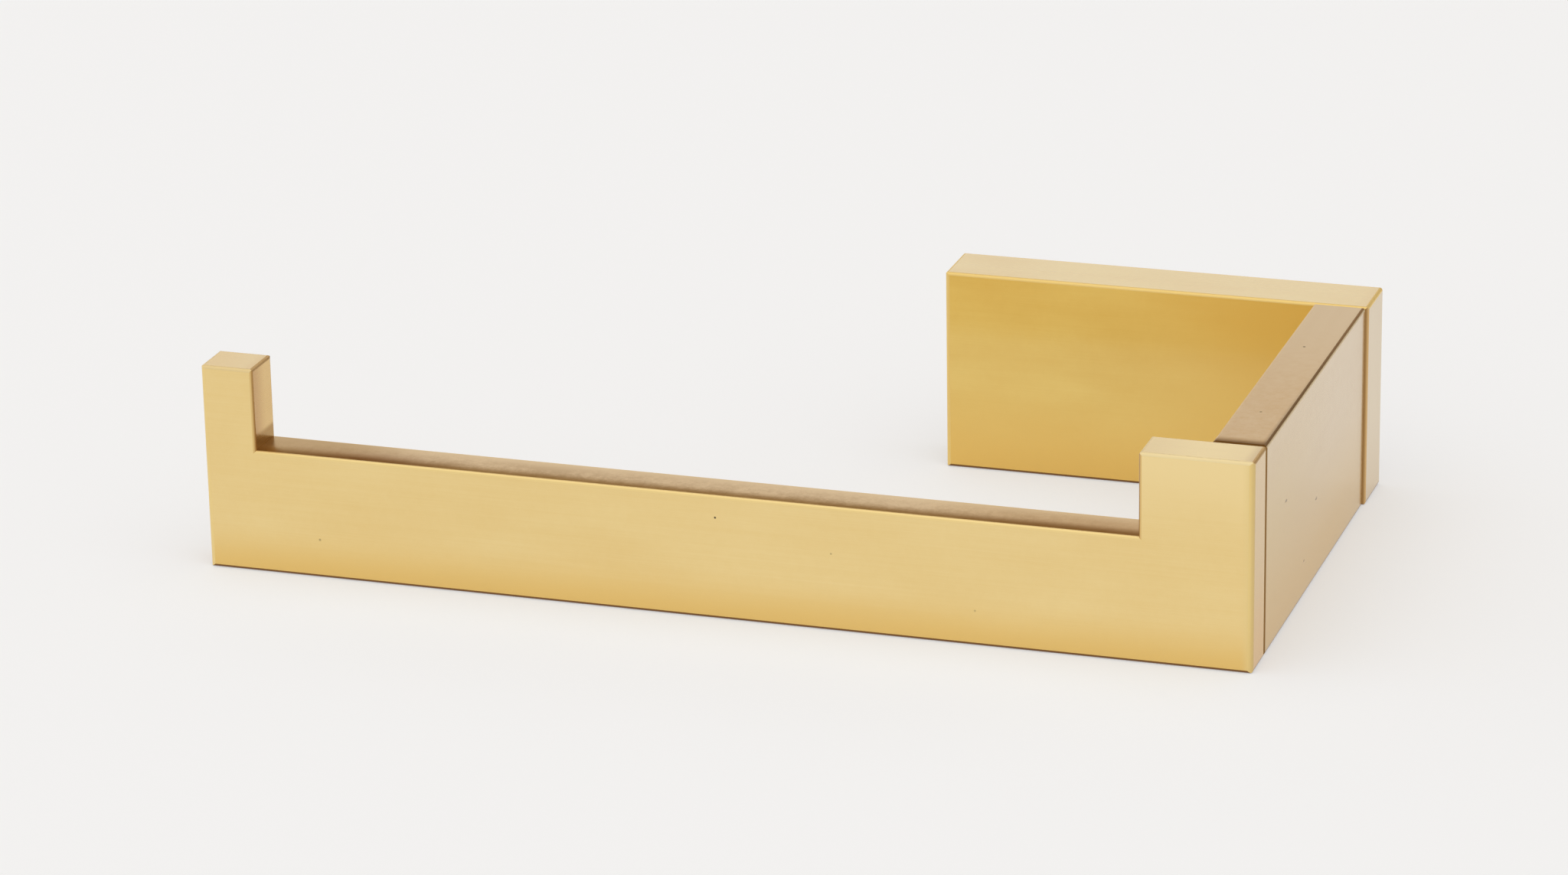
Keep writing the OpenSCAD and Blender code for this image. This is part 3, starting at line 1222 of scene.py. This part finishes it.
@dataclass
class WallPlate(MachinedPiece):
    """The plate at the wall, with the pocket for the bracket milled in its back.

    Attributes:
        face: Least thickness of metal between the front and anything milled in the back.
    """

    node: str = "wall_plate"
    name: str = "plate"
    slot: str = "plate_brass"
    face: float = 1.0

    def finishes(self) -> dict[Face, Finish]:
        """Gives the finish of each kind of face.

        Returns:
            The finishes, by kind of face.
        """
        low, high = self.box.low, self.box.high
        arm = Box.of("side_arm")
        return {
            Face.FRONT: BrassFinish(
                "plate_brushed_front", PLATE_GOLD, 0.3, BELT_X, stretch=0.55, mottle=2.4, speckle=0.5,
                # Painted shade beside the arm and towards the bottom.
                bands=(
                    Band(Along.X, arm.low.x, 40.0, tinted(PLATE_GOLD, 0.96, 0.86, 0.66)),
                    Band(Along.Z, low.z, 20.0, tinted(PLATE_GOLD, 0.9, 0.75, 0.52)),
                ),
            ),
            Face.TOP: BrassFinish(
                "plate_satin_top", TOP_GOLD, 0.26, BELT_X, mottle=2.4, speckle=0.8,
                # Painted shade along the top's right-hand end.
                bands=(Band(Along.X, high.x, 3.0, tinted(TOP_GOLD, 0.88, 0.78, 0.62), 0.6),),
            ),
            Face.SIDE: BrassFinish(
                "plate_satin_side", PLATE_SIDE, 0.22, BELT_Z, lacquer=0.6, speckle=0.8,
                # Painted shade towards the bottom.
                bands=(Band(Along.Z, low.z, 14.0, tinted(PLATE_SIDE, 0.98, 0.91, 0.77)),),
            ),
            # The edges' pale colour paints a highlight along them.
            Face.EDGE: BrassFinish(
                "plate_edge_painted_highlight", display(248, 221, 146), 0.6, BELT_X, mottle=0.3,
                lacquer=0.3, lacquer_roughness=0.4,
            ),
            Face.FOOT: FOOT,
            # Painted shade: the upright corner is darker, darkest at its front.
            Face.CORNER: BrassFinish(
                "plate_corner_painted_shade", tinted(GOLD, 0.78, 0.68, 0.68), 0.45, BELT_Z, lacquer=0.2,
                bands=(Band(Along.Y, low.y, 0.5, tinted(GOLD, 0.36, 0.25, 0.18)),),
            ),
            Face.BORE: BORED,
            Face.BACK: BrassFinish(
                "plate_ground_back", display(226, 196, 132), 0.3, BELT_X, lacquer=0.0,
            ),
            Face.POCKET: BrassFinish(
                "plate_milled_pocket", display(214, 184, 118), 0.34, MILLED, lacquer=0.0,
                warm=(0.72, 0.64, 0.5),
            ),
        }

    def sort(self, place: Vector, normal: Vector) -> Face:
        """Says what a face is, with the pocket and the back as kinds of their own.

        Args:
            place: The face's middle, in millimetres.
            normal: The way it looks.

        Returns:
            The kind of face.
        """
        low, high = self.box.low, self.box.high
        kind = super().sort(place, normal)
        edge = min(place.x - low.x, high.x - place.x, place.z - low.z, high.z - place.z)
        if kind is not Face.BORE and edge > self.skin and place.y > low.y + self.face:
            return Face.BACK if normal.y > FLAT and place.y > high.y - LEVEL else Face.POCKET
        if normal.y > FLAT:
            return Face.BACK
        if kind is Face.EDGE and place.x > self.box.centre.x and abs(normal.z) < UPRIGHT:
            return Face.CORNER
        return kind


@dataclass
class WallBracket(MachinedPiece):
    """The steel bracket on the wall, which the plate hooks over."""

    node: str = "wall_bracket"
    name: str = "bracket"
    slot: str = "bracket_steel"

    def finishes(self) -> dict[Face, Finish]:
        """Gives the one finish that every face has."""
        tumbled = Grain(Along.X, 12.0, 0.4, 0.002, 0.4, 0.1)
        return {Face.FRONT: SteelFinish("bracket_tumbled", display(198, 198, 196), 0.36, tumbled)}

    def sort(self, place: Vector, normal: Vector) -> Face:
        """Says that every face has the one finish."""
        return Face.FRONT


# ---------------------------------------------------------------------------------------
# Screws, washers and pins
# ---------------------------------------------------------------------------------------


@dataclass(frozen=True)
class Row:
    """One ring of points of a turned piece.

    Attributes:
        z: How high it lies. The socket's mouth is at 0 and the tip lies below.
        radius: Its radius, or half the distance across its flats. 0 makes it a single point.
        ribbed: How much of the ribs' depth is cut here, from 0 to 1.
        threaded: How much of the thread's depth is cut here, from 0 to 1.
        hexagonal: Whether it is a hexagon, and not a circle.
    """

    z: float
    radius: float
    ribbed: float = 0.0
    threaded: float = 0.0
    hexagonal: bool = False

    def reach(self, angle: float) -> float:
        """Gives its distance from the axis.

        Args:
            angle: The angle round the axis, in radians.

        Returns:
            The distance, which follows the flats of a hexagon.
        """
        if not self.hexagonal:
            return self.radius
        sixth = math.tau / 6
        return self.radius / math.cos((angle + sixth / 2) % sixth - sixth / 2)


ROUND = 0.3  # how far in the middle of a small fillet lies, as a share of its radius
DRILL_POINT = 0.4  # depth of the cone that the drill left under a socket
DRILL_SHARE = 0.9  # width of that drill, beside the socket's flats
MOUTH_BEVEL = 0.12  # depth of the bevel round a socket's mouth
MOUTH_FLARE = 0.08  # how far it reaches past the socket's corners


@dataclass
class TurnedPiece(Piece):
    """A turned piece with a hexagon socket, a thread and perhaps a ribbed head.

    Attributes:
        steel: Linear colour of its steel.
        roughness: Roughness of the steel.
        rings: The rings that the lathe left.
        flats: Its hexagon socket, across the flats.
        socket_depth: Depth of the socket.
        pitch: Pitch of the thread.
        thread_depth: Depth of the thread.
        ribs: How many ribs its head has.
        rib_depth: How deep they are.
        segments: Points in each ring. Two of them make a rib.
        steps: Rings in each turn of the thread.
        crease: Edges sharper than this stay sharp, in degrees.
    """

    steel: Colour
    roughness: float
    rings: Turned
    flats: float
    socket_depth: float
    pitch: float = 0.7
    thread_depth: float = 0.36
    ribs: int = 36
    rib_depth: float = 0.12
    segments: int = 72
    steps: int = 6
    crease: float = 18.0

    def rows(self) -> list[Row]:
        """Gives the rings, from the bottom of the socket round to the tip."""
        raise NotImplementedError

    def finish(self) -> Finish:
        """Gives the finish, turned round the piece's own axis."""
        rings = replace(self.rings, centre=tuple(self.box.centre))
        return SteelFinish(f"{self.name}_turned_steel", self.steel, self.roughness, rings)

    def placing(self) -> Matrix:
        """Gives the turn and the move that put the piece in its place, in millimetres."""
        raise NotImplementedError

    def socket(self) -> list[Row]:
        """Gives the rings of the socket.

        Returns:
            The rings, from the point that the drill left to the socket's mouth.
        """
        half = self.flats / 2
        corner = half / math.cos(math.tau / 12)
        return [
            Row(-self.socket_depth - DRILL_POINT, 0.0),
            Row(-self.socket_depth, half * DRILL_SHARE),
            Row(-self.socket_depth, half, hexagonal=True),
            Row(-MOUTH_BEVEL, half, hexagonal=True),
            Row(0.0, corner + MOUTH_FLARE),
        ]

    def thread(self, start: float, stop: float, radius: float) -> list[Row]:
        """Gives the rings of a thread that deepens over its first turn.

        Args:
            start: Height of the first ring.
            stop: Height of the last one, which lies lower.
            radius: Radius over the thread's crests.

        Returns:
            The rings.
        """
        count = math.ceil((start - stop) / self.pitch * self.steps)
        fall = (start - stop) / count
        depth = [min(1.0, step / self.steps) for step in range(count + 1)]
        return [Row(start - fall * step, radius, threaded=depth[step]) for step in range(count + 1)]

    def blank(self) -> bpy.types.Mesh:
        """Turns the rings into a closed mesh whose points carry what is cut at them.

        Returns:
            The mesh, in millimetres.
        """
        shape = bmesh.new()
        ribbed = shape.verts.layers.float.new("ribbed")
        threaded = shape.verts.layers.float.new("threaded")
        rings = []
        for row in self.rows():
            ring = []
            for step in range(self.segments if row.radius else 1):
                angle = math.tau * step / self.segments
                reach = row.reach(angle)
                point = shape.verts.new((reach * math.cos(angle), reach * math.sin(angle), row.z))
                point[ribbed] = row.ribbed
                point[threaded] = row.threaded
                ring.append(point)
            rings.append(ring)
        for one, other in zip(rings, rings[1:]):
            for step in range(self.segments):
                after = step + 1
                corners = (
                    one[step % len(one)], one[after % len(one)],
                    other[after % len(other)], other[step % len(other)],
                )
                shape.faces.new(dict.fromkeys(corners))
        mesh = bpy.data.meshes.new(self.name)
        shape.to_mesh(mesh)
        shape.free()
        return mesh

    def cutter(self) -> ShapeTree:
        """Builds the tree that cuts the ribs and the thread into the blank.

        Returns:
            The tree.
        """
        tree = ShapeTree(
            "cut_ribs_and_thread",
            {
                "Ribs": self.ribs,
                "Rib Depth": self.rib_depth,
                "Pitch": self.pitch,
                "Thread Depth": self.thread_depth,
            },
        )
        x, y, z = tree.place("GeometryNodeInputPosition", "Position")
        turns = y.angle_of(x) / math.tau
        valley = 1 - abs((turns * tree.given("Ribs")).fraction() * 2 - 1)
        groove = 1 - abs((z / tree.given("Pitch") - turns).fraction() * 2 - 1)
        cut = valley * tree.given("Rib Depth") * self.carried(tree, "ribbed")
        cut = cut + groove * tree.given("Thread Depth") * self.carried(tree, "threaded")
        shrink = 1 - cut / (x * x + y * y) ** 0.5
        moved = tree.add(
            "GeometryNodeSetPosition",
            sockets={
                "Geometry": tree.given("Geometry"),
                "Position": tree.vector(x * shrink, y * shrink, z),
            },
        )
        tree.end(tree.value(moved))
        return tree

    @staticmethod
    def carried(tree: ShapeTree, name: str) -> Value:
        """Reads what the blank's points carry under a name."""
        node = tree.add("GeometryNodeInputNamedAttribute", {"data_type": "FLOAT"}, {"Name": name})
        return tree.value(node)

    def build(self) -> bpy.types.Object:
        """Makes the piece and shows it.

        Returns:
            The piece.
        """
        mesh = self.cutter().run(self.blank(), self.finish().material())
        mesh.shade_smooth()
        mesh.set_sharp_from_angle(angle=math.radians(self.crease))
        mesh.transform(Matrix.Scale(MM, 4) @ self.placing())
        return show(self.name, mesh, self.node)


@dataclass
class TieScrew(TurnedPiece):
    """A long socket head screw that clamps the plate, the arm and the bar.

    Attributes:
        shank: Diameter of its shank.
        head_height: Height of its head.
        bevel: Bevel of its head and of its tip.
        rib_fade: Height over which the ribs run out.
        plain_foot: Height of the head's plain foot, under the ribs.
        foot_bevel: Bevel at the head's foot.
        neck: Radius of the fillet under the head.
        thread_length: Length of its thread.
    """

    slot: str = "fastener_steel"
    steel: Colour = display(206, 206, 205)
    roughness: float = 0.26
    rings: Turned = Turned(Along.Y, pitch=0.3, depth=0.003, tone=0.8, gloss=0.2)
    flats: float = 3.0
    socket_depth: float = 2.0
    shank: float = 4.0
    head_height: float = 4.0
    bevel: float = 0.4
    rib_fade: float = 0.12
    plain_foot: float = 0.38
    foot_bevel: float = 0.1
    neck: float = 0.2
    thread_length: float = 20.0

    def rows(self) -> list[Row]:
        """Gives the rings.

        Returns:
            The rings, from the bottom of the socket round to the tip.
        """
        head = self.box.size.x / 2
        shank = self.shank / 2
        under = -self.head_height
        tip = -self.box.size.y
        return [
            *self.socket(),
            Row(0.0, head - self.bevel),
            Row(-self.bevel, head),
            Row(-self.bevel - self.rib_fade, head, ribbed=1.0),
            Row(under + self.plain_foot + self.rib_fade, head, ribbed=1.0),
            Row(under + self.plain_foot, head),
            Row(under + self.foot_bevel, head),
            Row(under, head - self.foot_bevel),
            Row(under, shank + self.neck),
            Row(under - self.neck * ROUND, shank + self.neck * ROUND),
            Row(under - self.neck, shank),
            *self.thread(tip + self.thread_length, tip + self.bevel, shank),
            Row(tip, shank - self.bevel),
            Row(tip, 0.0),
        ]

    def placing(self) -> Matrix:
        """Turns the screw along Y, with its head towards the wall.

        Returns:
            The turn and the move, in millimetres.
        """
        middle = self.box.centre
        place = Matrix.Translation((middle.x, self.box.high.y, middle.z))
        return place @ Matrix.Rotation(-math.tau / 4, 4, "X")


@dataclass
class SetScrew(TurnedPiece):
    """A headless screw in the plate's underside, with its flat point up against the bracket.

    Attributes:
        point: Diameter of its flat point.
        bevel: Bevel at its socket's end.
    """

    slot: str = "set_screw_steel"
    steel: Colour = display(196, 196, 196)
    roughness: float = 0.3
    rings: Turned = Turned(Along.Z, pitch=0.18, depth=0.0012, tone=0.5, gloss=0.15)
    flats: float = 2.0
    socket_depth: float = 1.6
    point: float = 2.0
    bevel: float = 0.35

    def rows(self) -> list[Row]:
        """Gives the rings.

        Returns:
            The rings, from the bottom of the socket round to the tip.
        """
        outer = self.box.size.x / 2
        point = self.point / 2
        tip = -self.box.size.z
        return [
            *self.socket(),
            Row(0.0, outer - self.bevel),
            *self.thread(-self.bevel, tip + outer - point, outer),
            Row(tip, point),
            Row(tip, 0.0),
        ]

    def placing(self) -> Matrix:
        """Turns the screw so that its socket looks down.

        Returns:
            The turn and the move, in millimetres.
        """
        middle = self.box.centre
        place = Matrix.Translation((middle.x, middle.y, self.box.low.z))
        return place @ Matrix.Rotation(math.tau / 2, 4, "X")


@dataclass
class SpringWasher(Piece):
    """A split spring washer, pressed flat under a tie screw's head.

    Attributes:
        bore: Diameter of its hole.
        slit: Width of its slit.
        ease: Radius of its wire's corners.
        segments: Points round it.
        crease: Edges sharper than this stay sharp, in degrees.
    """

    slot: str = "spring_steel"
    bore: float = 4.5
    slit: float = 0.5
    ease: float = 0.15
    segments: int = 96
    crease: float = 50.0

    def coil(self) -> ShapeTree:
        """Builds the tree that bends the wire into a split ring.

        Returns:
            The tree.
        """
        width = (self.box.size.z - self.bore) / 2
        tree = ShapeTree(
            "bend_split_ring",
            {
                "Radius": (self.bore + width) / 2,
                "Slit": self.slit,
                "Width": width,
                "Thickness": self.box.size.y,
                "Ease": self.ease,
            },
        )
        radius = tree.given("Radius")
        gap = tree.given("Slit") / radius
        ring = tree.add(
            "GeometryNodeCurveArc",
            {"mode": "RADIUS"},
            {
                "Resolution": self.segments,
                "Radius": radius,
                "Start Angle": gap / 2,
                "Sweep Angle": math.tau - gap,
            },
        )
        wire = tree.add(
            "GeometryNodeCurvePrimitiveQuadrilateral",
            {"mode": "RECTANGLE"},
            {"Width": tree.given("Width"), "Height": tree.given("Thickness")},
        )
        eased = tree.add(
            "GeometryNodeFilletCurve",
            sockets={"Curve": wire.outputs[0], "Radius": tree.given("Ease")},
        )
        bent = tree.add(
            "GeometryNodeCurveToMesh",
            sockets={"Curve": ring.outputs[0], "Profile Curve": eased.outputs[0], "Fill Caps": True},
        )
        tree.end(tree.value(bent))
        return tree

    def build(self) -> bpy.types.Object:
        """Makes the washer and shows it.

        Returns:
            The piece.
        """
        spring = SteelFinish("washer_spring_steel", display(176, 175, 172), 0.34, TURNED_Y)
        mesh = self.coil().run(bpy.data.meshes.new(self.name), spring.material())
        mesh.shade_smooth()
        mesh.set_sharp_from_angle(angle=math.radians(self.crease))
        place = Matrix.Translation(self.box.centre) @ Matrix.Rotation(-math.tau / 4, 4, "X")
        mesh.transform(Matrix.Scale(MM, 4) @ place)
        return show(self.name, mesh, self.node)


@dataclass
class LocatingPins:
    """The ground pins that keep the three brass pieces in line.

    Attributes:
        nodes: Their CAD nodes, which keep their own shape.
    """

    nodes: tuple[str, ...] = (
        "front_pin_upper", "front_pin_lower", "rear_pin_upper", "rear_pin_lower",
    )

    def build(self) -> None:
        """Dresses the pins."""
        ground = SteelFinish(
            "pin_ground_steel", display(210, 210, 212), 0.2,
            Grain(Along.Y, length=0.08, pitch=4.0, depth=0.0008, tone=0.25, gloss=0.08),
        )
        for node in self.nodes:
            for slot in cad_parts[node].material_slots:
                slot.material = ground.material()
            LOG.info("%s: dressed", node)


# ---------------------------------------------------------------------------------------
# Studio
# ---------------------------------------------------------------------------------------


def flat_sheet(
    name: str, corners: Sequence[Sequence[float]], material: bpy.types.Material,
) -> bpy.types.Object:
    """Puts a flat sheet with four corners in the scene.

    Args:
        name: Its name.
        corners: Its corners, in metres.
        material: Its material.

    Returns:
        The sheet.
    """
    mesh = bpy.data.meshes.new(name)
    mesh.from_pydata(corners, [], [(0, 1, 2, 3)])
    mesh.materials.append(material)
    sheet = bpy.data.objects.new(name, mesh)
    bpy.context.scene.collection.objects.link(sheet)
    return sheet


@dataclass
class Studio:
    """The floor, the light and the camera.

    Attributes:
        azimuth: Camera's angle round the holder, in degrees, towards +X.
        elevation: Camera's angle above the floor, in degrees.
        roll: Camera's tilt about its own axis, in degrees.
        distance: Camera's distance from its target, in metres.
        target: What the camera looks at, in metres.
        lens: The lens, in millimetres.
        sensor: Width of the sensor, in millimetres.
        clip: The nearest that the camera sees, in metres.
        floor_size: Width of the floor, in metres.
        floor_gap: How far the floor lies under the holder's flat underside, in metres.
        white: Linear colour of the floor where it is lit.
        plain: Linear colour of the floor where it shows as plain white.
        glow: How far the floor shows as plain white, and not as it is lit.
        pale: Linear colour of the backdrop and of everything round it.
        backdrop: Brightness of the backdrop.
        softbox: How much brighter it is overhead.
        softbox_rise: Heights between which the softbox comes in. Heights in the room go from
            0 at the floor to 1 straight up.
        side_lift: How much brighter the room is towards +X.
        room: Linear colour of the dark gap above the backdrop.
        gap_foot: Heights between which the gap comes in.
        gap_head: Heights between which it goes out again, the upper one first.
        gap_depth: How far back it comes in, from -1 at the front to 1 at the back.
        panel_place: Middle of the dark panel, in metres.
        panel_half: Half its width and half its height, in metres.
        panel_brown: Its linear colour.
        panel_roughness: Its roughness.
    """

    azimuth: float = 18.39
    elevation: float = 19.78
    roll: float = -1.06
    distance: float = 0.9386
    target: Vector = field(default_factory=lambda: Vector((-0.05294, -0.05, -0.00029)))
    lens: float = 130.27
    sensor: float = 36.0
    clip: float = 0.01
    floor_size: float = 12.0
    floor_gap: float = 0.00002
    white: Colour = display(249, 250, 251)
    plain: Colour = display(250, 249, 248)
    glow: float = 0.42
    pale: Colour = (1.0, 0.995, 0.985)
    backdrop: float = 0.9
    softbox: float = 0.3
    softbox_rise: tuple[float, float] = (0.5, 0.92)
    side_lift: float = 0.06
    room: Colour = (0.24, 0.15, 0.08)
    gap_foot: tuple[float, float] = (0.46, 0.58)
    gap_head: tuple[float, float] = (0.88, 0.76)
    gap_depth: tuple[float, float] = (-0.1, 0.3)
    panel_place: Vector = field(default_factory=lambda: Vector((0.5, 1.1, 0.28)))
    panel_half: tuple[float, float] = (0.3, 0.24)
    panel_brown: Colour = (0.17, 0.1, 0.045)
    panel_roughness: float = 0.9

    def build(self) -> None:
        """Makes the studio."""
        self.set_view()
        self.light_world()
        self.lay_floor()
        self.hang_panel()
        self.aim_camera()

    def set_view(self) -> None:
        """Keeps colours as they are written."""
        bpy.context.scene.view_settings.view_transform = "Standard"

    def light_world(self) -> None:
        """Lights the holder from a pale room with a darker gap above its backdrop."""
        world = bpy.data.worlds.new("studio")
        bpy.context.scene.world = world
        world.use_nodes = True
        world.node_tree.nodes.clear()
        graph = Graph(world.node_tree)
        across, depth, up = graph.place(output="Generated")
        gap = up.eased(*self.gap_foot) * up.eased(*self.gap_head) * depth.eased(*self.gap_depth)
        overhead = up.eased(*self.softbox_rise)
        colour = graph.blend(gap, self.pale, self.room)
        strength = self.backdrop + overhead * self.softbox + across * self.side_lift
        background = graph.add("ShaderNodeBackground", sockets={"Color": colour, "Strength": strength})
        graph.add("ShaderNodeOutputWorld", sockets={"Surface": background.outputs[0]})

    def lay_floor(self) -> None:
        """Lays the floor under the holder."""
        half = self.floor_size / 2
        bottom = CAD_BOX[0][2] - self.floor_gap
        corners = [(x * half, y * half, bottom) for x, y in ((-1, -1), (1, -1), (1, 1), (-1, 1))]
        material, graph = new_material("floor_white")
        lit = graph.add("ShaderNodeBsdfDiffuse", sockets={"Color": (*self.white, 1.0)})
        plain = graph.add("ShaderNodeEmission", sockets={"Color": (*self.plain, 1.0)})
        path = graph.add("ShaderNodeLightPath")
        seen = graph.value(path, "Is Camera Ray").larger(graph.value(path, "Is Glossy Ray"))
        seen = seen.larger(graph.value(path, "Is Transmission Ray")) * self.glow
        shader = graph.add(
            "ShaderNodeMixShader", sockets={0: seen, 1: lit.outputs[0], 2: plain.outputs[0]},
        )
        graph.add("ShaderNodeOutputMaterial", sockets={"Surface": shader.outputs[0]})
        floor = flat_sheet("floor", corners, material)

    def hang_panel(self) -> None:
        """Hangs a dark panel behind the holder on its right, which draws its right-hand edges."""
        middle = self.panel_place
        half_width, half_height = self.panel_half
        across = Vector((middle.y, -middle.x, 0)).normalized() * half_width
        up = Vector((0, 0, half_height))
        corners = [middle - across - up, middle + across - up, middle + across + up, middle - across + up]
        material, graph = new_material("panel_brown")
        shader = graph.add(
            "ShaderNodeBsdfPrincipled",
            sockets={"Base Color": (*self.panel_brown, 1.0), "Roughness": self.panel_roughness},
        )
        graph.add("ShaderNodeOutputMaterial", sockets={"Surface": shader.outputs[0]})
        panel = flat_sheet("dark_panel", corners, material)
        panel.visible_camera = False

    def aim_camera(self) -> None:
        """Makes the camera and aims it at its target."""
        camera = bpy.data.cameras.new("camera")
        camera.lens = self.lens
        camera.sensor_width = self.sensor
        camera.clip_start = self.clip
        holder = bpy.data.objects.new("camera", camera)
        turn = Euler(
            (math.radians(90 - self.elevation), 0.0, math.radians(self.azimuth)), "XYZ"
        ).to_matrix()
        turn = turn @ Matrix.Rotation(math.radians(self.roll), 3, "Z")
        back = turn @ Vector((0, 0, 1))
        holder.matrix_world = Matrix.LocRotScale(self.target + back * self.distance, turn, None)
        bpy.context.scene.collection.objects.link(holder)
        bpy.context.scene.camera = holder


def main() -> None:
    """Builds the studio and every piece of the holder."""
    logging.basicConfig(level=logging.INFO, format="%(name)s: %(message)s")
    Studio().build()
    pieces = [
        FrontBar(),
        SideArm(),
        WallPlate(),
        WallBracket(),
        LocatingPins(),
    ]
    for end in ("upper", "lower"):
        pieces.append(TieScrew(f"tie_screw_{end}", f"screw_{end}"))
        pieces.append(SpringWasher(f"spring_washer_{end}", f"washer_{end}"))
    for side in ("left", "right"):
        pieces.append(SetScrew(f"set_screw_{side}", f"grub_{side}"))
    for piece in pieces:
        piece.build()


if __name__ == "__main__":
    main()
